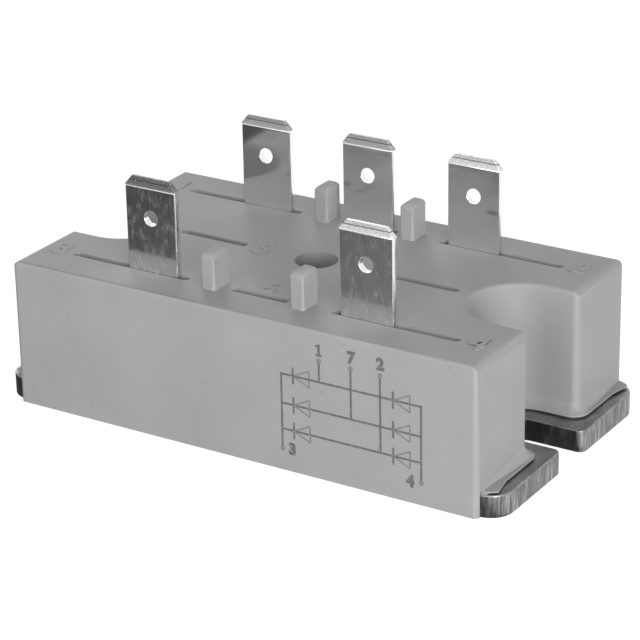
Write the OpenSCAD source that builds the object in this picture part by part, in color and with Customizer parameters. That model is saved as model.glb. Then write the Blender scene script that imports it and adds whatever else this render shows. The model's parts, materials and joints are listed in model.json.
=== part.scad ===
// Three-phase bridge rectifier module with five blade tabs.
// Millimetres. Z up, X along the long side, the origin under the middle of the metal base.

/* [Baseplate] */
// Length of the metal plate over both slotted ends
plate_l = 61; // [58:0.5:64]
// Width of the metal plate, inside the housing's long walls
plate_w = 30.6; // [29:0.1:31]
// Thickness of the metal plate
plate_t = 2.5; // [2:0.1:3]
// Radius of the plate's outer corners
plate_corner_r = 2.6; // [2:0.1:3]
// Width of each open screw slot
slot_w = 4.8; // [4.3:0.1:5.2]
// Distance of each screw's centre from the middle
screw_x = 24.5; // [24:0.1:25]

/* [Housing] */
// Length of the moulded housing
body_l = 56.3; // [55.4:0.1:57]
// Width of the moulded housing
body_w = 31.8; // [31.7:0.1:33]
// Height of the housing's top face above the floor
body_h = 16.4; // [15:0.1:18]
// Radius of the top edges along the long sides and round the screw notches
edge_r = 0.45; // [0.3:0.05:0.45]
// Radius of the top edge at each end
end_r = 1.1; // [0.8:0.05:1.3]
// Radius of the housing's upright edges
corner_r = 0.65; // [0.65:0.05:0.9]
// Radius of the upright edges at the mouth of each screw notch
mouth_r = 0.8; // [0.7:0.05:1.1]
// Thickness of the walls and of the top
wall = 1.5; // [1.2:0.1:1.8]
// Radius of the round end of each screw notch
notch_r = 5.5; // [5.4:0.1:6]
// How far the hollow foot stands out on the plate
foot_w = 1; // [0.8:0.05:1.2]
// Diameter of the filling hole in the middle of the top
fill_d = 4.7; // [4:0.1:5.5]

/* [Blade tabs] */
// Width of a blade
blade_w = 6.3; // [6.2:0.05:6.4]
// Thickness of a blade
blade_t = 0.8; // [0.75:0.01:0.85]
// Height of the blade tips above the floor
blade_top = 26.8; // [25:0.1:28]
// Distance of the two rows of blades from the middle
row_y = 11; // [10.8:0.1:11.4]
// Distance of the outer blades from the middle
blade_x = 13; // [12.6:0.1:13.3]
// Diameter of the hole in each blade
blade_hole_d = 1.65; // [1.5:0.05:1.9]
// Distance of that hole's centre from the blade's tip
blade_hole_drop = 4.35; // [3.6:0.05:4.6]

/* [Rectifier inside] */
// Length of the ceramic substrate
substrate_l = 34; // [33.6:0.1:34.2]
// Width of the ceramic substrate
substrate_w = 26; // [25.6:0.1:26.4]
// Side of each square diode die
die_w = 4.6; // [4:0.1:5]
// Distance of the outer phases from the middle
phase_x = 11.2; // [10.8:0.1:11.6]
// Level of the top of the soft gel
gel_top = 8; // [7.6:0.1:9]
// Level of the top of the hard potting resin
resin_top = 11.5; // [10.5:0.1:13]

/* [Hidden] */
$fn = 64;

// Overlap that keeps cutters clear of the faces they cut
eps = 0.5;

// Levels of the layers, from the plate up
seal_t = 0.2;
seal_top = plate_t + seal_t;
solder_t = 0.15;
copper_t = 0.3;
ceramic_t = 0.65;
joint_t = 0.1;
die_t = 0.35;
copper_z = plate_t + solder_t;
ceramic_z = copper_z + copper_t;
track_z = ceramic_z + ceramic_t;
joint_z = track_z + copper_t;
part_z = joint_z + joint_t;
die_top = part_z + die_t;
clip_z = die_top + joint_t;
strip_z = clip_z + 1.95;

// Corners at the mouth of each slot in the plate
slot_mouth_r = 0.9;

// Fit of the housing round the plate and of the blades in their slits
skirt_gap = 0.05;
slit_w = 0.95;
slit_out = 23.5;
slit_in = 8.7;
mid_slit_out = 17.2;
centre_slit_l = 7;

// Foot: a hollow that sinks towards the plate's corners, on a flat lip that turns out there
foot_lip = 0.15;
foot_h = 1.5;
foot_steps = 4;
foot_root = -0.05;
foot_reach = foot_w - foot_root;
hollow_r = (foot_reach * foot_reach + foot_h * foot_h) / (2 * foot_reach);
hollow_turn = asin(foot_h / hollow_r);
foot_sink = 5;
flare_y = 11.8;
flare_angle = 11.5;
foot_inset = 0.2;

// Inner face of the top, and the radius of the upright edges inside
cavity_top = body_h - wall;
inner_r = 0.2;

// Posts on the top face
post_x = 5.4;
post_t = 1.6;
post_w = 2.85;
post_h = 4.15;
post_round = 0.78;
post_end_round = 0.9;
post_edge = 0.5;
post_draft = 0.08;

// Blade tip: a bevel, then a steeper crown
tip_h = 1.05;
tip_bevel_h = 0.6;
tip_shoulder = 0.5;
tip_land = 0.36;
tip_corner_w = 0.8;
tip_corner_h = 1;
foot_len = 3;
bend_r = 0.7;

// Copper tracks on the ceramic
track_edge = 0.6;
track_x = substrate_l / 2 - track_edge;
track_y = substrate_w / 2 - track_edge;
track_gap = 1.2;
ac_front = 0;
ac_split = 5.2;
plus_back = ac_front - track_gap;
plus_front = -7;
minus_back = plus_front - track_gap;
plus_pad_x = -9.4;
die_minus_y = 4.2;
die_plus_y = -4.1;

// Stamped copper clips
jumper_w = 3;
jumper_t = 0.4;
jumper_rise = 0.95;
jumper_land = 0.8;
strip_w = 2.4;
strip_t = 0.5;
strip_pad = 1.3;
arm_x = 5.6;
arm_w = 1.6;
arm_front = -9.4;

// Place of each phase
PHASES = [-phase_x, 0, phase_x];

// Rectangle centred on the origin with round corners
module rounded_rect(l, w, r) {
    square([l - 2 * r, w], center = true);
    square([l, w - 2 * r], center = true);
    for (x = [-1, 1], y = [-1, 1])
        translate([x * (l / 2 - r), y * (w / 2 - r)])
            circle(r);
}

// Both ends, the second one mirrored
module both_ends() {
    children();
    mirror([1, 0, 0])
        children();
}

// Open slot with a round inner end and rounded mouth corners, in the end at half-length end_x
module open_slot(r, end_x, mouth_r) {
    translate([screw_x, 0])
        circle(r);
    translate([screw_x, -r])
        square([end_x + eps - screw_x, 2 * r]);
    for (y = [-1, 1])
        difference() {
            translate([end_x - mouth_r, y > 0 ? r - 0.01 : -r - mouth_r])
                square([mouth_r + eps, mouth_r + 0.01]);
            translate([end_x - mouth_r, y * (r + mouth_r)])
                circle(mouth_r);
        }
}

// Housing outline, moved inwards by inset, or outwards where that is negative
module outline(inset) {
    difference() {
        rounded_rect(body_l - 2 * inset, body_w - 2 * inset, max(corner_r - inset, inner_r));
        both_ends()
            open_slot(notch_r + inset, body_l / 2 - inset, max(mouth_r - inset, inner_r));
    }
}

// Plate outline, moved inwards by inset
module plate_outline(inset) {
    difference() {
        rounded_rect(plate_l - 2 * inset, plate_w - 2 * inset, plate_corner_r - inset);
        both_ends()
            open_slot(slot_w / 2 + inset, plate_l / 2 - inset, slot_mouth_r - inset);
    }
}

// Slab of an outline between two levels
module slab(low, high) {
    translate([0, 0, low])
        linear_extrude(high - low)
            children();
}

// Box from one corner to the other
module block(low, high) {
    translate(low)
        cube(high - low);
}

// Straight run of a section along +Y
module run(l) {
    mirror([0, 1, 0])
        rotate([90, 0, 0])
            linear_extrude(l)
                children();
}

// Section swept along both ends of the housing, up to y_end, and round the notches.
// In the section x is the distance outwards from the wall and y the height. Past the notches
// the sweep sinks by an angle
module along_ends(y_end, sink = 0) {
    x = body_l / 2;
    mouth_y = notch_r + mouth_r;
    both_ends() {
        for (s = [0, 1])
            mirror([0, s, 0]) {
                translate([x, mouth_y, 0])
                    rotate([-sink, 0, 0])
                        run(y_end - mouth_y)
                            children();
                // Wedge that fills the bend where the sweep starts to sink
                if (sink > 0)
                    translate([x, mouth_y, 0])
                        mirror([1, 0, -1])
                            rotate_extrude(angle = sink)
                                mirror([1, -1])
                                    children();
                translate([screw_x, notch_r, 0])
                    rotate([90, 0, 90])
                        linear_extrude(x - mouth_r - screw_x)
                            mirror([1, 0])
                                children();
                translate([x - mouth_r, mouth_y, 0])
                    rotate([0, 0, -90])
                        rotate_extrude(angle = 90)
                            translate([mouth_r, 0])
                                children();
            }
        translate([screw_x, 0, 0])
            rotate([0, 0, 90])
                rotate_extrude(angle = 180)
                    translate([notch_r, 0])
                        mirror([1, 0])
                            children();
    }
}

// Section of the rounded top edge
module round_section() {
    translate([-edge_r, 0])
        intersection() {
            circle(edge_r);
            square(edge_r);
        }
}

// Space outside the rounder top edge of each end
module end_space() {
    both_ends()
        translate([body_l / 2 - end_r, body_w / 2 + eps, body_h - end_r])
            rotate([90, 0, 0])
                linear_extrude(body_w + 2 * eps)
                    difference() {
                        square(end_r + eps);
                        circle(end_r);
                    }
}

// Solid outer form of the housing with round top edges
module housing_form() {
    x = body_l / 2 - corner_r;
    y = body_w / 2 - corner_r;
    z = body_h - edge_r;
    slab(seal_top, z)
        outline(0);
    slab(seal_top, body_h)
        outline(edge_r);
    translate([0, 0, z]) {
        along_ends(y)
            round_section();
        for (s = [0, 1])
            mirror([0, s, 0]) {
                translate([-x, body_w / 2, 0])
                    rotate([90, 0, 90])
                        linear_extrude(2 * x)
                            round_section();
                both_ends()
                    translate([x, y, 0])
                        rotate_extrude(angle = 90)
                            translate([corner_r, 0])
                                round_section();
            }
    }
}

// Points of the foot's hollow from the lip up to the wall, where it starts upright
function hollow() =
    [for (i = [foot_steps:-1:0], a = i * hollow_turn / foot_steps)
        [foot_root + hollow_r * (1 - cos(a)), foot_lip + foot_h - hollow_r * sin(a)]];

// Section of the foot
module foot_section() {
    polygon(concat([[-edge_r, 0], [foot_w, 0]], hollow(), [[-edge_r, foot_lip + foot_h]]));
}

// Flat lip along one end, on one side, which turns out over the plate's corner
module lip() {
    x = body_l / 2;
    y = plate_w / 2;
    out = (y - flare_y) * tan(flare_angle);
    slab(0, foot_lip)
        polygon([[x - edge_r, notch_r + mouth_r], [x + foot_w, notch_r + mouth_r], [x + foot_w, flare_y],
                 [x + foot_w + out, y], [x - edge_r, y]]);
}

// Foot round the ends and the notches, kept inside the plate's edges
module foot() {
    intersection() {
        union() {
            along_ends(plate_w / 2 + eps, foot_sink)
                foot_section();
            both_ends()
                for (s = [0, 1])
                    mirror([0, s, 0])
                        lip();
        }
        slab(0, foot_lip + foot_h + eps)
            plate_outline(foot_inset);
    }
}

// Side view of a post: w wide at the top, which is rounded with radius r, and a little wider at its foot
module post_side(w, r) {
    x = w / 2;
    base_x = x + post_draft;
    polygon([[-base_x, -eps], [base_x, -eps], [x, post_h - r], [-x, post_h - r]]);
    translate([r - x, 0])
        square([w - 2 * r, post_h]);
    for (s = [-1, 1])
        translate([s * (x - r), post_h - r])
            circle(r);
}

// Post beside the middle, rounded over the top both ways
module post() {
    base_t = post_t + 2 * post_draft;
    base_w = post_w + 2 * post_draft;
    intersection() {
        translate([-base_t / 2, 0, 0])
            rotate([90, 0, 90])
                linear_extrude(base_t)
                    post_side(post_w, post_end_round);
        translate([0, base_w / 2, 0])
            rotate([90, 0, 0])
                linear_extrude(base_w)
                    post_side(post_t, post_round);
        slab(-eps, post_h + eps)
            rounded_rect(base_t, base_w, post_edge);
    }
}

// Slit with round ends, cut through the top
module slit(x_low, x_high, y) {
    translate([(x_low + x_high) / 2, y])
        rounded_rect(x_high - x_low, slit_w, slit_w / 2 - 0.01);
}

// All the slits in the top
module slits() {
    for (s = [-1, 1], y = [-row_y, row_y])
        slit(s > 0 ? slit_in : -slit_out, s > 0 ? slit_out : -slit_in, y);
    for (s = [-1, 1])
        slit(s > 0 ? slit_in : -mid_slit_out, s > 0 ? mid_slit_out : -slit_in, 0);
    for (y = [-row_y, row_y])
        slit(-centre_slit_l / 2, centre_slit_l / 2, y);
}

module housing() {
    color("#a9a9a7")
        difference() {
            union() {
                difference() {
                    housing_form();
                    end_space();
                }
                translate([0, 0, seal_top])
                    foot();
                // Long walls, down over the plate's edges to the floor
                for (s = [0, 1])
                    mirror([0, s, 0])
                        slab(0, seal_top + eps)
                            intersection() {
                                outline(0);
                                translate([-body_l / 2, plate_w / 2 + skirt_gap])
                                    square([body_l, body_w / 2]);
                            }
                for (x = [-post_x, post_x], y = [-row_y, row_y])
                    translate([x, y, body_h])
                        post();
            }
            // Hollow inside, above the plate
            slab(0.01, cavity_top)
                intersection() {
                    outline(wall);
                    square([body_l, body_w], center = true);
                }
            slab(cavity_top - eps, body_h + eps)
                slits();
            translate([0, 0, cavity_top - eps])
                cylinder(h = wall + 2 * eps, d = fill_d);
        }
}

module baseplate() {
    color("#8b8a86")
        slab(0, plate_t)
            plate_outline(0);
}

// Bead between the housing's walls and the plate
module seal_adhesive() {
    color("#4a4947")
        slab(plate_t, seal_top)
            difference() {
                intersection() {
                    outline(-0.6 * foot_w);
                    plate_outline(0.1);
                }
                outline(wall);
            }
}

// Side view of a terminal: a blade with a bevelled tip, a bend and a foot that points along +X of this view
module terminal_section() {
    t = blade_t;
    outer = bend_r + t;
    top = blade_top - part_z;
    translate([-t / 2, outer])
        square([t, top - outer - tip_h]);
    translate([0, top - tip_h])
        polygon([[-t / 2, -0.01], [t / 2, -0.01], [tip_shoulder / 2, tip_bevel_h], [tip_land / 2, tip_h],
                 [-tip_land / 2, tip_h], [-tip_shoulder / 2, tip_bevel_h]]);
    translate([outer - t / 2, 0])
        square([foot_len - outer, t]);
    intersection() {
        translate([outer - t / 2, outer])
            difference() {
                circle(outer);
                circle(bend_r);
            }
        translate([-t / 2 - 0.01, -0.01])
            square(outer + 0.01);
    }
}

// Front view of a terminal: the strip with its corners cut off at the tip
module terminal_face() {
    w = blade_w / 2;
    top = blade_top - part_z;
    polygon([[-w, -eps], [w, -eps], [w, top - tip_corner_h], [w - tip_corner_w, top + 0.01],
             [-w + tip_corner_w, top + 0.01], [-w, top - tip_corner_h]]);
}

// One terminal, whose foot points to the middle of the module
module terminal(x, side) {
    color("#b9b9b6")
        translate([x, side * row_y, part_z])
            difference() {
                intersection() {
                    translate([-blade_w / 2, 0, 0])
                        rotate([90, 0, 90])
                            linear_extrude(blade_w)
                                mirror([side > 0 ? 1 : 0, 0])
                                    terminal_section();
                    translate([0, foot_len + eps, 0])
                        rotate([90, 0, 0])
                            linear_extrude(2 * (foot_len + eps))
                                terminal_face();
                }
                translate([0, 0, blade_top - part_z - blade_hole_drop])
                    rotate([90, 0, 0])
                        cylinder(h = 2 * blade_t, d = blade_hole_d, center = true);
            }
}

// Layer of the substrate, centred on the plate
module layer(l, w, z, t) {
    block([-l / 2, -w / 2, z], [l / 2, w / 2, z + t]);
}

module substrate_solder() {
    color("#b4b6b8")
        layer(substrate_l - track_edge, substrate_w - track_edge, plate_t, solder_t);
}

module substrate_copper() {
    color("#c98a5a")
        layer(substrate_l - track_edge, substrate_w - track_edge, copper_z, copper_t);
}

module ceramic_substrate() {
    color("#e9e7e0")
        layer(substrate_l, substrate_w, ceramic_z, ceramic_t);
}

module track(x_low, x_high, y_low, y_high) {
    color("#c98a5a")
        block([x_low, y_low, track_z], [x_high, y_high, joint_z]);
}

module track_ac_1() {
    track(-track_x, -ac_split - track_gap, ac_front, track_y);
}

module track_ac_7() {
    track(-ac_split, ac_split, ac_front, track_y);
}

module track_ac_2() {
    track(ac_split + track_gap, track_x, ac_front, track_y);
}

module track_plus() {
    track(-track_x, track_x, plus_front, plus_back);
    track(-track_x, plus_pad_x, -track_y, plus_front + 0.01);
}

module track_minus() {
    track(plus_pad_x + track_gap, track_x, -track_y, minus_back);
}

module diode_die(x, y) {
    color("#5d6068")
        block([x - die_w / 2, y - die_w / 2, part_z], [x + die_w / 2, y + die_w / 2, die_top]);
}

// Thin solder pad with its lower face at level z
module pad(x, y, l, w, z) {
    block([x - l / 2, y - w / 2, z], [x + l / 2, y + w / 2, z + joint_t]);
}

module solder_joints() {
    land = foot_len - blade_t - bend_r;
    land_y = row_y + blade_t / 2 - foot_len + land / 2;
    color("#b4b6b8") {
        for (p = PHASES) {
            pad(p, die_minus_y, die_w - 0.2, die_w - 0.2, joint_z);
            pad(p, die_plus_y, die_w - 0.2, die_w - 0.2, joint_z);
            pad(p, die_minus_y, 2 * strip_pad, strip_w, die_top);
            pad(p, die_plus_y, jumper_w, 2 * jumper_land, die_top);
            pad(p, jumper_land, jumper_w, 2 * jumper_land - 0.4, joint_z);
        }
        for (x = [-blade_x, 0, blade_x])
            pad(x, land_y, blade_w - 0.6, land, joint_z);
        for (x = [-blade_x, blade_x])
            pad(x, -land_y, blade_w - 0.6, land, joint_z);
        pad(arm_x, arm_front - strip_pad, arm_w, 2 * strip_pad - 0.2, joint_z);
    }
}

// Short bridge from the top of a plus die to its phase track
module jumper(x) {
    t = jumper_t;
    up = clip_z + jumper_rise;
    back = 2 * jumper_land;
    start = die_plus_y - jumper_land;
    rise = die_plus_y + jumper_land;
    color("#c98a5a")
        translate([x - jumper_w / 2, 0, 0])
            rotate([90, 0, 90])
                linear_extrude(jumper_w)
                    polygon([[start, clip_z], [rise + t, clip_z], [rise + t, up - t], [-t, up - t],
                             [-t, part_z], [back, part_z], [back, part_z + t], [0, part_z + t],
                             [0, up], [rise, up], [rise, clip_z + t], [start, clip_z + t]]);
}

// Folded strip that joins the tops of the minus dice, with an arm down to the minus track
module minus_clip() {
    t = strip_t;
    y_low = die_minus_y - strip_w / 2;
    y_high = die_minus_y + strip_w / 2;
    top = strip_z + t;
    arm_low = arm_x - arm_w / 2;
    arm_high = arm_x + arm_w / 2;
    color("#c98a5a") {
        for (p = PHASES) {
            block([p - strip_pad, y_low, clip_z], [p + strip_pad, y_high, clip_z + t]);
            // Risers on the sides that have a neighbour
            for (s = [-1, 1], x = [p + s * strip_pad])
                if (abs(p + s * phase_x) <= phase_x)
                    block([x - t / 2, y_low, clip_z], [x + t / 2, y_high, top]);
        }
        for (s = [0, 1])
            mirror([s, 0, 0])
                block([strip_pad - t / 2, y_low, strip_z], [phase_x - strip_pad + t / 2, y_high, top]);
        block([arm_low, arm_front, strip_z], [arm_high, y_low + 0.01, top]);
        block([arm_low, arm_front - t, part_z], [arm_high, arm_front, top]);
        block([arm_low, arm_front - 2 * strip_pad, part_z], [arm_high, arm_front, part_z + t]);
    }
}

// Terminals in their places
module terminals() {
    terminal(-blade_x, 1);
    terminal(0, 1);
    terminal(blade_x, 1);
    terminal(-blade_x, -1);
    terminal(blade_x, -1);
}

module silicone_gel() {
    color("#c9d3d6")
        difference() {
            slab(plate_t, gel_top)
                outline(wall);
            substrate_solder();
            substrate_copper();
            ceramic_substrate();
            track_ac_1();
            track_ac_7();
            track_ac_2();
            track_plus();
            track_minus();
            for (p = PHASES) {
                diode_die(p, die_minus_y);
                diode_die(p, die_plus_y);
                jumper(p);
            }
            solder_joints();
            minus_clip();
            terminals();
        }
}

module potting_resin() {
    color("#3b3b3a")
        difference() {
            slab(gel_top, resin_top)
                outline(wall);
            terminals();
        }
}

baseplate();
housing();
terminal(-blade_x, 1);  // terminal_1
terminal(0, 1);  // terminal_7
terminal(blade_x, 1);  // terminal_2
terminal(-blade_x, -1);  // terminal_3
terminal(blade_x, -1);  // terminal_4
seal_adhesive();
substrate_solder();
substrate_copper();
ceramic_substrate();
track_ac_1();
track_ac_7();
track_ac_2();
track_plus();
track_minus();
diode_die(-phase_x, die_plus_y);  // diode_die_plus_1
diode_die(0, die_plus_y);  // diode_die_plus_7
diode_die(phase_x, die_plus_y);  // diode_die_plus_2
diode_die(-phase_x, die_minus_y);  // diode_die_minus_1
diode_die(0, die_minus_y);  // diode_die_minus_7
diode_die(phase_x, die_minus_y);  // diode_die_minus_2
solder_joints();
jumper(-phase_x);  // jumper_1
jumper(0);  // jumper_7
jumper(phase_x);  // jumper_2
minus_clip();
silicone_gel();
potting_resin();
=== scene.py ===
"""Looks of the three-phase bridge rectifier module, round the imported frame.

Metres, Z up, X along the long side. The camera, the studio and the floor are at the end.
"""
import json
import math

import bmesh
import bpy
from mathutils import Matrix, Vector


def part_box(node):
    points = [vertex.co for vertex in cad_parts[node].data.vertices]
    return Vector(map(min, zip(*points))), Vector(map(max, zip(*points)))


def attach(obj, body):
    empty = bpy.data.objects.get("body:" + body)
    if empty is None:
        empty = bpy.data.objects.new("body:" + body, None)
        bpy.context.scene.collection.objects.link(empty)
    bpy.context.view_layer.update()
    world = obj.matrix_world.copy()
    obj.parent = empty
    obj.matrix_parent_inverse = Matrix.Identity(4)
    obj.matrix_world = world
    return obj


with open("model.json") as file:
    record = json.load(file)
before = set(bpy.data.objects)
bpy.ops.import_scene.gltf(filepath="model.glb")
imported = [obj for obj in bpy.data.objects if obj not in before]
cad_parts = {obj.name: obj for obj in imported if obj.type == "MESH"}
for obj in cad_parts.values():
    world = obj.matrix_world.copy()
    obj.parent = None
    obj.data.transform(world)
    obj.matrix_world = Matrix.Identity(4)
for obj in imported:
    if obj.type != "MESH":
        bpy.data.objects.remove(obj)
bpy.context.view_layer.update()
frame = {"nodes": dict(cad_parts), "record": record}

MM = 0.001
BODY = "root"
nodes = frame["nodes"]

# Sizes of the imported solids: the housing's posts, walls, round ends and filling hole, and the blades' tips
POST_H = 4.15 * MM
WALL_X = 28.15 * MM
WALL_T = 1.5 * MM
END_R = 1.1 * MM
FILL_R = 2.35 * MM
TIP_H = 1.05 * MM
TIP_BEVEL_H = 0.6 * MM

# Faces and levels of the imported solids
plate_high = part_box("baseplate")[1]
body_low, body_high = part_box("housing")
blade_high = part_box("terminal_4")[1]
resin_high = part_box("potting_resin")[1]
TOP_Z = body_high.z - POST_H
TIP_Z = blade_high.z - TIP_H
CROWN_Z = TIP_Z + TIP_BEVEL_H
FRONT_Y = body_low.y


# Node helpers


class Tree:
    """A tree of nodes, built one call at a time."""

    def __init__(self, tree):
        self.tree = tree

    def node(self, kind, inputs=(), **settings):
        """A new node: settings are its properties, inputs its sockets by name or number."""
        made = self.tree.nodes.new(kind)
        for key, value in settings.items():
            setattr(made, key, value)
        for key, value in dict(inputs).items():
            self.put(made.inputs[key], value)
        return made

    def put(self, socket, value):
        """Links a socket, or sets it to a constant."""
        if isinstance(value, bpy.types.NodeSocket):
            self.tree.links.new(value, socket)
        else:
            socket.default_value = value

    def math(self, operation, a, b=0.0):
        """One sum, product or other step with one or two values."""
        return self.node("ShaderNodeMath", {0: a, 1: b}, operation=operation).outputs[0]

    def split(self, vector):
        """The three coordinates of a vector."""
        return self.node("ShaderNodeSeparateXYZ", {0: vector}).outputs


class Shader(Tree):
    """The nodes of a new material with one surface shader."""

    def __init__(self, name):
        self.material = bpy.data.materials.new(name)
        self.material.use_nodes = True
        super().__init__(self.material.node_tree)
        self.bsdf = self.tree.nodes["Principled BSDF"]

    def place(self, scale=(1, 1, 1)):
        """The point on the piece in millimetres, stretched along the axes."""
        coords = self.node("ShaderNodeTexCoord")
        mapping = self.node("ShaderNodeMapping", {"Vector": coords.outputs["Object"]})
        mapping.inputs["Scale"].default_value = [s / MM for s in scale]
        return mapping.outputs["Vector"]

    def noise(self, where, scale, detail=4, rough=0.55):
        """Fractal noise from 0 to 1; scale is in features a millimetre."""
        made = self.node("ShaderNodeTexNoise", {"Vector": where, "Scale": scale, "Detail": detail,
                                                "Roughness": rough})
        return made.outputs["Fac"]

    def spread(self, value, low, high, from_low=0.3, from_high=0.7):
        """A value moved from one range to another."""
        made = self.node("ShaderNodeMapRange", {"Value": value, "From Min": from_low, "From Max": from_high,
                                                "To Min": low, "To Max": high})
        return made.outputs["Result"]

    def mix(self, fac, a, b):
        """A colour between a and b."""
        made = self.node("ShaderNodeMix", {"Factor": fac}, data_type="RGBA")
        self.put(made.inputs[6], a)
        self.put(made.inputs[7], b)
        return made.outputs[2]

    def normal(self):
        """Components of the surface's own normal."""
        return self.split(self.node("ShaderNodeNewGeometry").outputs["True Normal"])

    def veins(self, value, middle, width):
        """Thin lines where a value passes through its middle."""
        off = self.math("ABSOLUTE", self.math("SUBTRACT", value, middle))
        return self.spread(off, 1, 0, 0, width)

    def bump(self, height, distance):
        """Fine relief of the surface; distance is how high a height of 1 stands."""
        made = self.node("ShaderNodeBump", {"Height": height, "Distance": distance})
        self.put(self.bsdf.inputs["Normal"], made.outputs["Normal"])

    def set(self, **sockets):
        """Sets sockets of the surface shader, with underscores for the spaces in their names."""
        for key, value in sockets.items():
            self.put(self.bsdf.inputs[key.replace("_", " ")], value)
        return self.material


def grey(level, warm=0.0):
    """A linear colour from an sRGB level between 0 and 255, a little warm or cool."""
    v = level / 255
    linear = v / 12.92 if v <= 0.04045 else ((v + 0.055) / 1.055) ** 2.4
    return (linear * (1 + warm), linear, linear * (1 - 1.6 * warm), 1)


# Materials


def moulded_plastic():
    """Grey moulded housing: fine matte grain, soft clouding and a few dark specks."""
    s = Shader("moulded grey plastic")
    where = s.place()
    cloud = s.noise(where, 0.12, 3)
    grain = s.noise(where, 7, 3, 0.7)
    tone = s.mix(s.spread(cloud, 0, 1), grey(163, 0.004), grey(171, 0.004))
    tone = s.mix(s.spread(grain, 0, 0.35), tone, grey(150, 0.004))
    specks = s.node("ShaderNodeTexVoronoi", {"Vector": where, "Scale": 0.42})
    speck = s.spread(specks.outputs["Distance"], 0.55, 0, 0.035, 0.06)
    tone = s.mix(speck, tone, grey(112, 0.004))
    height = s.math("ADD", s.noise(where, 5, 2, 0.6), s.math("MULTIPLY", cloud, 2.0))
    s.bump(height, 0.012 * MM)
    return s.set(Base_Color=tone, Roughness=s.spread(grain, 0.5, 0.62), Specular_IOR_Level=0.4)


def bright_tab(name, wear, stain):
    """Tin-plated blade: mirror-like faces with more or less wear, and a grained tip that may be stained."""
    s = Shader(name)
    where = s.place()
    height = s.split(where)[2]
    brushed = s.noise(s.place((1, 1, 0.1)), 7, 4, 0.65)
    patches = s.noise(s.place((1, 1, 0.5)), 1.6, 5, 0.7)
    grain = s.noise(where, 6, 2, 0.7)
    tip = s.spread(height, 0, 1, TIP_Z / MM - 0.05, TIP_Z / MM + 0.05)
    tone = s.mix(s.spread(brushed, 0, 1), grey(240 - 26 * wear, 0.006), grey(244, 0.006))
    tone = s.mix(s.spread(patches, 0, 0.3 * wear, 0.4, 0.65), tone, grey(255))
    pale, dark = grey(238 - 120 * stain, 0.006), grey(205 - 110 * stain, 0.006)
    band = s.mix(s.spread(grain, 0, 1, 0.42, 0.6), pale, dark)
    band = s.mix(s.spread(grain, 0, stain, 0.62, 0.7), band, grey(240))
    band = s.mix(s.veins(height, CROWN_Z / MM, 0.09), band, grey(70))
    tone = s.mix(tip, tone, band)
    worn = s.spread(patches, 0.03, 0.03 + 0.22 * wear, 0.42, 0.68)
    rough = s.math("ADD", s.spread(brushed, 0.04, 0.08 + 0.06 * wear), worn)
    rough = s.math("ADD", rough, s.math("MULTIPLY", tip, 0.15))
    tip_grain = s.math("MULTIPLY", s.math("MULTIPLY", grain, tip), 3.0)
    s.bump(s.math("ADD", s.math("MULTIPLY", brushed, 0.5 + wear), tip_grain), 0.003 * MM)
    return s.set(Base_Color=tone, Metallic=1.0, Roughness=rough)


def plated_base():
    """Nickel-plated base: stained satin faces with fine scratches, and sheared edges with upright marks."""
    s = Shader("nickel plated base")
    where = s.place()
    side = s.math("SUBTRACT", 1.0, s.math("ABSOLUTE", s.normal()[2]))
    edge = s.spread(side, 0, 1, 0.5, 0.9)
    satin = s.noise(where, 4, 3, 0.6)
    cloud = s.noise(where, 0.35, 3, 0.6)
    speckle = s.noise(where, 6, 4, 0.75)
    flat_tone = s.mix(s.spread(cloud, 0, 1), grey(128, 0.02), grey(170, 0.012))
    flat_tone = s.mix(s.spread(speckle, 0, 0.6, 0.5, 0.75), flat_tone, grey(80, 0.03))
    waves = s.veins(s.noise(where, 0.55, 2, 0.5), 0.5, 0.018)
    flat_tone = s.mix(s.math("MULTIPLY", waves, 0.4), flat_tone, grey(80, 0.03))
    sheared = s.noise(s.place((1, 1, 0.09)), 3.2, 5, 0.75)
    patches = s.noise(s.place((1, 1, 0.4)), 0.5, 3, 0.6)
    edge_tone = s.mix(s.spread(sheared, 0, 1, 0.4, 0.68), grey(104, 0.04), grey(186, 0.01))
    edge_tone = s.mix(s.spread(patches, 0, 0.8, 0.42, 0.62), edge_tone, grey(100, 0.05))
    edge_tone = s.mix(s.spread(speckle, 0, 0.5, 0.55, 0.7), edge_tone, grey(70, 0.05))
    height = s.math("MULTIPLY", s.math("MULTIPLY", sheared, edge), 5.0)
    s.bump(s.math("ADD", height, satin), 0.01 * MM)
    tone = s.mix(edge, flat_tone, edge_tone)
    return s.set(Base_Color=tone, Metallic=1.0, Roughness=s.spread(satin, 0.3, 0.42))


def cured_adhesive():
    """Grey bead under the housing."""
    s = Shader("cured adhesive")
    lumps = s.noise(s.place(), 1.2, 3)
    s.bump(lumps, 0.06 * MM)
    tone = s.mix(lumps, grey(150, 0.02), grey(164, 0.02))
    return s.set(Base_Color=tone, Roughness=0.6)


def solder_metal():
    """Dull grey solder with a frosted surface."""
    s = Shader("solder")
    grain = s.noise(s.place(), 3, 3)
    s.bump(grain, 0.02 * MM)
    tone = s.mix(grain, grey(160), grey(195))
    return s.set(Base_Color=tone, Metallic=1.0, Roughness=s.spread(grain, 0.35, 0.55))


def bare_copper():
    """Rolled copper, clouded where it has tarnished."""
    s = Shader("bare copper")
    fine = s.noise(s.place((1, 0.15, 1)), 5, 3)
    cloud = s.noise(s.place(), 0.5, 3)
    tone = s.mix(s.spread(cloud, 0, 1), (0.66, 0.26, 0.14, 1), (0.46, 0.16, 0.09, 1))
    s.bump(fine, 0.008 * MM)
    return s.set(Base_Color=tone, Metallic=1.0, Roughness=s.spread(fine, 0.25, 0.4))


def white_ceramic():
    """Fired ceramic plate."""
    s = Shader("white ceramic")
    grain = s.noise(s.place(), 6, 3)
    s.bump(grain, 0.01 * MM)
    tone = s.mix(grain, grey(226, 0.02), grey(240, 0.02))
    return s.set(Base_Color=tone, Roughness=s.spread(grain, 0.5, 0.65))


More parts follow.
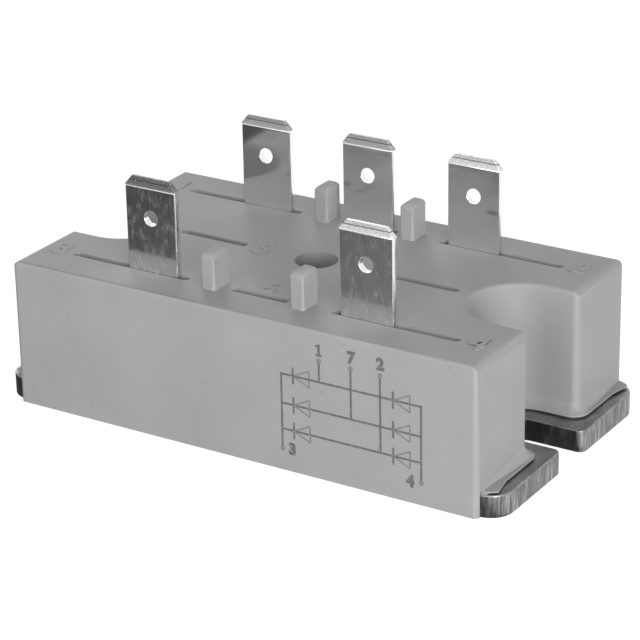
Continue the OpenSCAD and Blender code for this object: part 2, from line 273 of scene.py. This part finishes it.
def silicon_die():
    """Dark polished silicon."""
    s = Shader("silicon die")
    cloud = s.noise(s.place(), 2, 2)
    tone = s.mix(cloud, (0.09, 0.1, 0.13, 1), (0.14, 0.15, 0.18, 1))
    return s.set(Base_Color=tone, Metallic=0.6, Roughness=s.spread(cloud, 0.12, 0.25))


def clear_gel():
    """Soft silicone gel, shown as a pale wet surface."""
    s = Shader("clear gel")
    lumps = s.noise(s.place(), 0.4, 2)
    s.bump(lumps, 0.05 * MM)
    tone = s.mix(lumps, grey(205, -0.02), grey(220, -0.02))
    return s.set(Base_Color=tone, Roughness=s.spread(lumps, 0.08, 0.18), Specular_IOR_Level=0.5)


def grey_resin():
    """Hard potting resin with a slightly uneven surface."""
    s = Shader("grey resin")
    lumps = s.noise(s.place(), 0.5, 3)
    s.bump(lumps, 0.08 * MM)
    tone = s.mix(lumps, grey(150, 0.02), grey(166, 0.02))
    return s.set(Base_Color=tone, Roughness=s.spread(lumps, 0.25, 0.4))


def marking_ink(name, level):
    """Grey marking, a little broken where it missed the grain."""
    s = Shader(name)
    gaps = s.noise(s.place(), 6, 3, 0.7)
    tone = s.mix(s.spread(gaps, 0, 1, 0.45, 0.75), grey(level, 0.01), grey(145, 0.006))
    return s.set(Base_Color=tone, Roughness=s.spread(gaps, 0.5, 0.6))


MATERIALS = {
    "housing": moulded_plastic(),
    "tab": bright_tab("tin plated tab", 0.0, 0.5),
    "plate": plated_base(),
    "adhesive": cured_adhesive(),
    "solder": solder_metal(),
    "copper": bare_copper(),
    "ceramic": white_ceramic(),
    "silicon": silicon_die(),
    "gel": clear_gel(),
    "resin": grey_resin(),
}
TABS = {
    "terminal_2": bright_tab("tin plated tab with a clean tip", 0.0, 0.05),
    "terminal_3": bright_tab("worn tab with a stained tip", 1.0, 0.9),
    "terminal_4": bright_tab("worn tab with a clean tip", 0.9, 0.0),
}
INK = marking_ink("marking ink", 99)
FAINT_INK = marking_ink("faint marking ink", 128)


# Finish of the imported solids


SMOOTH_ANGLE = math.radians(38)
SHARP_ANGLE = math.radians(40)
FINE_ANGLE = math.radians(6)
FLAT_ANGLE = math.radians(0.4)
WELD_GAP = 0.0005 * MM
# Share of a blade's edge width that its tip and hole get, and the slack when an edge is found by its place
TIP_SHARE = 0.35
EDGE_SLACK = 0.1 * MM
# A face of a round end: slack in its place, least x and z and most y of its normal
END_SLACK = 0.01 * MM
FACE_LEAST = 0.01
FACE_MOST = 0.05
# Attribute that the bevel reads its share of the width from
WEIGHT = "bevel_weight_edge"


class Group(Tree):
    """Geometry nodes that take a mesh in and give it back changed."""

    def __init__(self, name):
        super().__init__(bpy.data.node_groups.new(name, "GeometryNodeTree"))
        for way in ("INPUT", "OUTPUT"):
            self.tree.interface.new_socket("Geometry", in_out=way, socket_type="NodeSocketGeometry")
        self.mesh = self.tree.nodes.new("NodeGroupInput").outputs[0]

    def compare(self, operation, a, b):
        """Whether a stands to b as the operation says."""
        made = self.node("FunctionNodeCompare", {"A": a, "B": b}, data_type="FLOAT", operation=operation)
        return made.outputs[0]

    def logic(self, operation, a, b):
        """Two conditions joined by AND or OR."""
        return self.node("FunctionNodeBooleanMath", {0: a, 1: b}, operation=operation).outputs[0]

    def edge_angle(self):
        """The angle between the two faces at each edge."""
        return self.node("GeometryNodeInputMeshEdgeAngle").outputs["Unsigned Angle"]

    def position(self):
        """The coordinates of each point."""
        return self.split(self.node("GeometryNodeInputPosition").outputs[0])

    def mark(self, weight):
        """Stores each edge's share of the bevel's width."""
        store = self.node("GeometryNodeStoreNamedAttribute",
                          {"Geometry": self.mesh, "Name": WEIGHT, "Value": weight},
                          data_type="FLOAT", domain="EDGE")
        self.mesh = store.outputs[0]

    def finish(self):
        """Sends the mesh out and gives the finished group."""
        end = self.tree.nodes.new("NodeGroupOutput")
        self.tree.links.new(self.mesh, end.inputs[0])
        return self.tree


def smooth_group():
    """Shades smooth across every edge flatter than SMOOTH_ANGLE."""
    group = Group("smooth by angle")
    faces = group.node("GeometryNodeSetShadeSmooth", {"Geometry": group.mesh})
    flatter = group.compare("LESS_THAN", group.edge_angle(), SMOOTH_ANGLE)
    edges = group.node("GeometryNodeSetShadeSmooth",
                       {"Geometry": faces.outputs[0], "Shade Smooth": flatter}, domain="EDGE")
    group.mesh = edges.outputs[0]
    return group.finish()


def edge_group(name):
    """Marks every sharp edge for the bevel."""
    group = Group(name)
    group.mark(group.compare("GREATER_THAN", group.edge_angle(), SHARP_ANGLE))
    return group.finish()


def tab_group(name, middle, half):
    """Marks a blade's edges for the bevel: its long sides most, then its tip and its hole."""
    group = Group(name)
    angle = group.edge_angle()
    x, _, z = group.position()
    off = group.math("ABSOLUTE", group.math("SUBTRACT", x, middle))
    side = group.logic("AND", group.compare("GREATER_THAN", off, half - EDGE_SLACK),
                       group.compare("LESS_THAN", z, TIP_Z - EDGE_SLACK))
    tip = group.logic("AND", group.compare("GREATER_THAN", angle, FINE_ANGLE),
                      group.compare("GREATER_THAN", z, TIP_Z - EDGE_SLACK))
    sharp = group.compare("GREATER_THAN", angle, SHARP_ANGLE)
    marked = group.logic("OR", sharp, tip)
    least = group.math("MULTIPLY", marked, TIP_SHARE)
    most = group.math("MULTIPLY", group.logic("AND", side, sharp), 1 - TIP_SHARE)
    group.mark(group.math("ADD", least, most))
    return group.finish()


def end_group():
    """Gives the round top edge of each end its true normals, free of the faces beside it."""
    group = Group("end normals")
    x, _, z = group.position()
    normal = group.node("GeometryNodeInputNormal").outputs
    face = group.node("GeometryNodeFieldOnDomain", {0: normal["True Normal"]},
                      data_type="FLOAT_VECTOR", domain="FACE")
    face_x, face_y, face_z = group.split(face.outputs[0])
    # A point's way out and up from the axis that the edge is rounded about
    out = group.math("SUBTRACT", group.math("ABSOLUTE", x), WALL_X - END_R)
    up = group.math("SUBTRACT", z, TOP_Z - END_R)
    signed_out = group.math("MULTIPLY", out, group.math("SIGN", x))
    off_axis = group.node("ShaderNodeCombineXYZ", {0: signed_out, 2: up})
    true = group.node("ShaderNodeVectorMath", {0: off_axis.outputs[0]}, operation="NORMALIZE")
    steep = group.math("ABSOLUTE", face_x)
    round_face = group.compare("LESS_THAN", group.math("ABSOLUTE", face_y), FACE_MOST)
    for value, least in ((out, -END_SLACK), (up, -END_SLACK), (face_z, FACE_LEAST), (steep, FACE_LEAST)):
        round_face = group.logic("AND", round_face, group.compare("GREATER_THAN", value, least))
    picked = group.node("GeometryNodeSwitch", {0: round_face, 1: normal["Normal"], 2: true.outputs[0]},
                        input_type="VECTOR")
    turned = group.node("GeometryNodeSetMeshNormal", {0: group.mesh, "Custom Normal": picked.outputs[0]},
                        mode="FREE", domain="CORNER")
    group.mesh = turned.outputs[0]
    return group.finish()


SMOOTH = smooth_group()
SHARP_EDGES = edge_group("sharp edges")


def soften(name, width, segments=3, marks=SHARP_EDGES, clamp=True):
    """Small round on the marked edges of a solid, with even shading on its flat faces."""
    solid = nodes[name]
    weld = solid.modifiers.new("weld", "WELD")
    weld.merge_threshold = WELD_GAP
    merge = solid.modifiers.new("flat faces", "DECIMATE")
    merge.decimate_type = "DISSOLVE"
    merge.angle_limit = FLAT_ANGLE
    mark = solid.modifiers.new("marks", "NODES")
    mark.node_group = marks
    bevel = solid.modifiers.new("edge", "BEVEL")
    bevel.width = width
    bevel.segments = segments
    bevel.limit_method = "WEIGHT"
    bevel.use_clamp_overlap = clamp
    shade = solid.modifiers.new("smooth", "NODES")
    shade.node_group = SMOOTH
    weighted = solid.modifiers.new("weighted", "WEIGHTED_NORMAL")
    weighted.keep_sharp = True


for part in frame["record"]["subparts"]:
    solid = nodes[part["node"]]
    solid.data.materials.clear()
    solid.data.materials.append(TABS.get(part["node"], MATERIALS[part["material_slot"]]))

soften("baseplate", 0.16 * MM)
soften("housing", 0.08 * MM, 2)
ends = nodes["housing"].modifiers.new("ends", "NODES")
ends.node_group = end_group()
for name in (name for name in nodes if name.startswith("terminal_")):
    low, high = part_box(name)
    marks = tab_group(name + " edges", (low.x + high.x) / 2, (high.x - low.x) / 2)
    soften(name, 0.22 * MM, 3, marks, False)


# Pieces that scene.py adds


def link(name, data):
    """A new object in the scene."""
    made = bpy.data.objects.new(name, data)
    bpy.context.scene.collection.objects.link(made)
    return made


def to_mesh(name, bm):
    """The mesh of a bmesh, which it frees."""
    mesh = bpy.data.meshes.new(name)
    bm.to_mesh(mesh)
    bm.free()
    return mesh


def new_piece(name, mesh, material):
    """Links a mesh as a piece of the object."""
    piece = link(name, mesh)
    mesh.materials.append(material)
    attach(piece, BODY)


# Printed circuit diagram on the front face

INK_T = 0.02 * MM
# How much further out each stroke stands than the one before
INK_STEP = 0.00002 * MM
LINE_W = 0.225 * MM
RING_R = 0.28 * MM
ONE_STROKE = 0.3 * MM


def add_prism(bm, outline, hole=()):
    """Thin prism of ink: outlines are (x, z) points on the front face, a ring if it has a hole.

    Each prism stands a hair further out than the one before, so that no two fronts share a plane.
    """
    sides = [list(outline), list(hole)] if hole else [list(outline)]
    front_y = FRONT_Y - INK_T - len(bm.faces) * INK_STEP
    front = [[bm.verts.new((x, front_y, z)) for x, z in loop] for loop in sides]
    back = [[bm.verts.new((x, FRONT_Y + INK_T / 4, z)) for x, z in loop] for loop in sides]
    for near, far in zip(front, back):
        for i in range(len(near)):
            j = (i + 1) % len(near)
            bm.faces.new((near[i], near[j], far[j], far[i]))
    if hole:
        for loops in (front, back):
            outer, inner = loops
            for i in range(len(outer)):
                j = (i + 1) % len(outer)
                bm.faces.new((outer[i], outer[j], inner[j], inner[i]))
    else:
        bm.faces.new(front[0])
        bm.faces.new(back[0])


def add_line(bm, start, end, width=LINE_W):
    """Straight stroke between two points on the front face."""
    a = Vector(start)
    b = Vector(end)
    side = (b - a).normalized().orthogonal() * width / 2
    add_prism(bm, [a - side, b - side, b + side, a + side])


def add_ring(bm, centre, radius=RING_R, width=LINE_W):
    """Small circle that marks a terminal."""
    steps = 16
    turn = [(math.cos(math.tau * i / steps), math.sin(math.tau * i / steps)) for i in range(steps)]
    loops = [[(centre[0] + r * c, centre[1] + r * s) for c, s in turn] for r in (radius, radius - width)]
    add_prism(bm, loops[0], loops[1])


def add_triangle(bm, tip, base, z, height):
    """Thin triangle with its tip at the left."""
    half = height / 2
    thin = 0.7 * LINE_W
    add_line(bm, (base, z - half), (base, z + half), thin)
    for s in (-1, 1):
        add_line(bm, (tip, z), (base, z + s * half), thin)


def add_one(bm, x, z, height):
    """The number 1, with a flag and a foot."""
    low, high = z - height / 2, z + height / 2
    foot_z = low + ONE_STROKE / 3
    foot_half = 0.27 * height
    flag_end = (x - 0.3 * height, high - 0.22 * height)
    add_line(bm, (x, low), (x, high), ONE_STROKE)
    add_line(bm, (x, high - ONE_STROKE / 4), flag_end, 0.75 * ONE_STROKE)
    add_line(bm, (x - foot_half, foot_z), (x + foot_half, foot_z), 0.7 * ONE_STROKE)


def ink_piece(name, bm, material):
    """Strokes of ink as one piece."""
    bmesh.ops.recalc_face_normals(bm, faces=bm.faces)
    new_piece(name, to_mesh(name, bm), material)


def print_circuit():
    """Six diodes between two rails, with three taps from above."""
    left, right = 5.58 * MM, 21.83 * MM
    rows = [z * MM for z in (10.8, 7.56, 4.68)]
    rail_low = 2.75 * MM
    taps = [x * MM for x in (10.08, 13.78, 17.17)]
    tap_top = 13.1 * MM
    diode_l, diode_h = 1.93 * MM, 1.85 * MM
    bars = (6.99 * MM, 18.63 * MM)
    lines = bmesh.new()
    faint = bmesh.new()
    for x in (left, right):
        add_line(lines, (x, rows[0] + LINE_W / 2), (x, rail_low))
        add_ring(faint, (x, rail_low - RING_R))
    for z, tap in zip(rows, taps):
        add_line(lines, (left, z), (right, z))
        add_line(lines, (tap, tap_top - RING_R), (tap, z))
        add_ring(faint, (tap, tap_top))
        for bar in bars:
            add_line(lines, (bar, z - diode_h / 2), (bar, z + diode_h / 2))
            add_triangle(faint, bar, bar + diode_l, z, diode_h)
    # Moved in a little, the faint strokes share no plane with the lines
    bmesh.ops.translate(faint, verts=faint.verts, vec=(0, INK_T / 5, 0))
    ink_piece("printed_circuit", lines, INK)
    ink_piece("printed_diodes", faint, FAINT_INK)


def numeral(name, text, size, place, turn, thick, material, bold=0.0):
    """A plain number as a thin solid in the housing's face: turn is the matrix that lays it there."""
    curve = bpy.data.curves.new(name, "FONT")
    curve.body = text
    curve.size = size
    curve.extrude = thick
    curve.offset = bold
    curve.resolution_u = 4
    curve.align_x = "CENTER"
    curve.align_y = "CENTER"
    holder = link(name + "_curve", curve)
    bpy.context.view_layer.update()
    mesh = bpy.data.meshes.new_from_object(holder)
    bpy.data.objects.remove(holder)
    mesh.transform(Matrix.Translation(place) @ turn)
    new_piece(name, mesh, material)


UPRIGHT = Matrix.Rotation(math.radians(90), 4, "X")
FLAT = Matrix.Identity(4)

# Height, extra stroke width and places (x, z) in mm of the numbers on the front face
LABEL_H = 1.75 * MM
LABEL_BOLD = 0.1 * MM
LABELS = {"7": (13.84, 14.23), "2": (17.21, 14.27), "3": (6.74, 2.51), "4": (20.58, 2.34)}
LABEL_ONE = (10.1, 14.27)
LABEL_ONE_H = 1.3 * MM

# The same of the raised numbers on the top face, with places (x, y), and how far they stand up
RAISED_H = 4.0 * MM
RAISED_BOLD = 0.05 * MM
RAISED_T = 0.09 * MM
RAISED = {"1": (-25.0, 11.3), "2": (25.3, 11.4), "3": (-25.4, -10.6), "4": (25.5, -11.1),
          "5": (-6.6, -0.2), "6": (-0.1, -9.0)}

print_circuit()
for digit, (x, z) in LABELS.items():
    numeral("label_" + digit, digit, LABEL_H, (x * MM, FRONT_Y, z * MM), UPRIGHT, INK_T, INK, LABEL_BOLD)
one = bmesh.new()
add_one(one, LABEL_ONE[0] * MM, LABEL_ONE[1] * MM, LABEL_ONE_H)
ink_piece("label_1", one, INK)
for digit, (x, y) in RAISED.items():
    numeral("raised_" + digit, digit, RAISED_H, (x * MM, y * MM, TOP_Z), FLAT, RAISED_T,
            MATERIALS["housing"], RAISED_BOLD)


# Collar under the filling hole

COLLAR_R = 3.15 * MM
COLLAR_STEPS = 64


def build_collar():
    """Round collar of the housing, from the inner face of its top down to the resin."""
    low, high = resin_high.z, TOP_Z - WALL_T
    turns = [math.tau * i / COLLAR_STEPS for i in range(COLLAR_STEPS)]
    bm = bmesh.new()
    loops = []
    for radius, z in ((FILL_R, low), (FILL_R, high), (COLLAR_R, high), (COLLAR_R, low)):
        loops.append([bm.verts.new((radius * math.cos(a), radius * math.sin(a), z)) for a in turns])
    for near, far in zip(loops, loops[1:] + loops[:1]):
        for i in range(COLLAR_STEPS):
            j = (i + 1) % COLLAR_STEPS
            bm.faces.new((near[i], near[j], far[j], far[i]))
    bmesh.ops.recalc_face_normals(bm, faces=bm.faces)
    mesh = to_mesh("filling_collar", bm)
    mesh.shade_smooth()
    mesh.set_sharp_from_angle(angle=SHARP_ANGLE)
    new_piece("filling_collar", mesh, MATERIALS["housing"])


build_collar()


# Studio

# Strength of the world's light on the object, the floor's grey, and how much of white its glow gives
WORLD_LIGHT = 0.37
FLOOR_TONE = 0.82
FLOOR_WHITE = 0.6
FLOOR_HALF = 3.0
# Floor and card lie this far under the plate, the card above the floor
FLOOR_Z = -0.01 * MM
CARD_Z = -0.005 * MM
# Left, near and far edges of the card, its painted reflection shades at the left and right, and the x in mm
# where they change
CARD_LEFT = -0.5
CARD_NEAR = -0.6
CARD_FAR = 2.4 * MM
PAINTED_REFLECTION_TONES = (grey(70), grey(134))
CARD_FADE = (-50, -8)
# Point that the lamps shine at
AIM = (0, 0, 0.01)


def looked_at(tree):
    """1 where the camera, a mirror or glass looks at a surface, 0 where it only sends light."""
    path = tree.node("ShaderNodeLightPath")
    seen = path.outputs["Is Camera Ray"]
    for name in ("Is Glossy Ray", "Is Transmission Ray"):
        seen = tree.math("MAXIMUM", seen, path.outputs[name])
    return seen


def build_world():
    """Even white surroundings: dim on the object, plain white as a background."""
    world = bpy.data.worlds.new("studio")
    bpy.context.scene.world = world
    world.use_nodes = True
    background = world.node_tree.nodes["Background"]
    tree = Tree(world.node_tree)
    amount = tree.node("ShaderNodeMapRange",
                       {"Value": looked_at(tree), "To Min": WORLD_LIGHT, "To Max": 1.0})
    tree.put(background.inputs["Color"], (1, 1, 1, 1))
    tree.put(background.inputs["Strength"], amount.outputs["Result"])


def build_floor():
    """Pale floor that looks white and keeps the object's soft shadow."""
    bm = bmesh.new()
    bmesh.ops.create_grid(bm, x_segments=1, y_segments=1, size=FLOOR_HALF)
    floor = link("floor", to_mesh("floor", bm))
    floor.location.z = FLOOR_Z
    s = Shader("pale floor")
    s.set(Base_Color=(FLOOR_TONE, FLOOR_TONE, FLOOR_TONE, 1), Roughness=0.9, Specular_IOR_Level=0.1)
    # The glow makes up what the floor's share in the world's light leaves short of white
    glow = (1 - (1 - FLOOR_WHITE) * FLOOR_TONE * WORLD_LIGHT) / FLOOR_WHITE
    white = s.node("ShaderNodeEmission", {"Color": (1, 1, 1, 1), "Strength": glow})
    share = s.math("MULTIPLY", looked_at(s), FLOOR_WHITE)
    mixed = s.node("ShaderNodeMixShader", {0: share, 1: s.bsdf.outputs[0], 2: white.outputs[0]})
    s.put(s.tree.nodes["Material Output"].inputs["Surface"], mixed.outputs[0])
    floor.data.materials.append(s.material)


def soft_light(name, place, aim, size, power):
    """Square soft box that points at aim."""
    lamp = bpy.data.lights.new(name, "AREA")
    lamp.shape = "SQUARE"
    lamp.size = size
    lamp.energy = power
    holder = link(name, lamp)
    holder.location = place
    holder.rotation_mode = "QUATERNION"
    holder.rotation_quaternion = (Vector(aim) - Vector(place)).to_track_quat("-Z", "Y")


def build_camera():
    """The photograph's view: a long lens from the front right, a little above."""
    azimuth, elevation, roll = map(math.radians, (32.2489, 23.1953, -1.0943))
    distance = 291.259 * MM
    target = Vector((0.8374, -0.8456, 10)) * MM
    focal_px, frame_px, sensor = 2749.42, 640, 36
    away = Vector((math.sin(azimuth) * math.cos(elevation), -math.cos(azimuth) * math.cos(elevation),
                   math.sin(elevation)))
    lens = bpy.data.cameras.new("camera")
    lens.sensor_width = sensor
    lens.lens = focal_px / frame_px * sensor
    lens.clip_start = 0.01
    lens.clip_end = 20
    camera = link("camera", lens)
    right = Vector((math.cos(azimuth), math.sin(azimuth), 0))
    up = away.cross(right)
    right_r = right * math.cos(roll) + up * math.sin(roll)
    up_r = up * math.cos(roll) - right * math.sin(roll)
    turn = Matrix((right_r, up_r, away)).transposed()
    camera.matrix_world = Matrix.Translation(target + away * distance) @ turn.to_4x4()
    bpy.context.scene.camera = camera


def from_side(azimuth, elevation, distance=0.7):
    """Place of a lamp: azimuth 0 is in front of the long face and 90 beyond the right end."""
    a = math.radians(azimuth)
    e = math.radians(elevation)
    return Vector((math.sin(a) * math.cos(e), -math.cos(a) * math.cos(e), math.sin(e))) * distance


def build_painted_reflection():
    """Painted reflection: a dark card on the floor, out of the camera's sight, that casts no shadow and
    sends no light; it only shows in reflections, darker at the left.
    """
    bm = bmesh.new()
    right = plate_high.x
    corners = [(CARD_LEFT, CARD_NEAR), (right, CARD_NEAR), (right, CARD_FAR), (CARD_LEFT, CARD_FAR)]
    bm.faces.new([bm.verts.new((x, y, CARD_Z)) for x, y in corners])
    card = link("painted_reflection_card", to_mesh("painted_reflection_card", bm))
    card.visible_camera = False
    card.visible_diffuse = False
    card.visible_shadow = False
    s = Shader("dark card")
    # Painted reflection: the card's shade, dark at the left and lighter at the right, is what the front
    # blades mirror
    across = s.spread(s.split(s.place())[0], 0, 1, *CARD_FADE)
    s.set(Base_Color=s.mix(across, *PAINTED_REFLECTION_TONES), Roughness=1.0)
    card.data.materials.append(s.material)


build_world()
build_floor()
build_painted_reflection()
soft_light("key_light", from_side(50, 12, 0.5), AIM, size=0.25, power=1.84)
soft_light("front_light", from_side(0, 20), AIM, size=0.35, power=0.95)
soft_light("back_light", from_side(225, 22), AIM, size=0.35, power=0.57)
build_camera()
bpy.context.scene.view_settings.view_transform = "Standard"
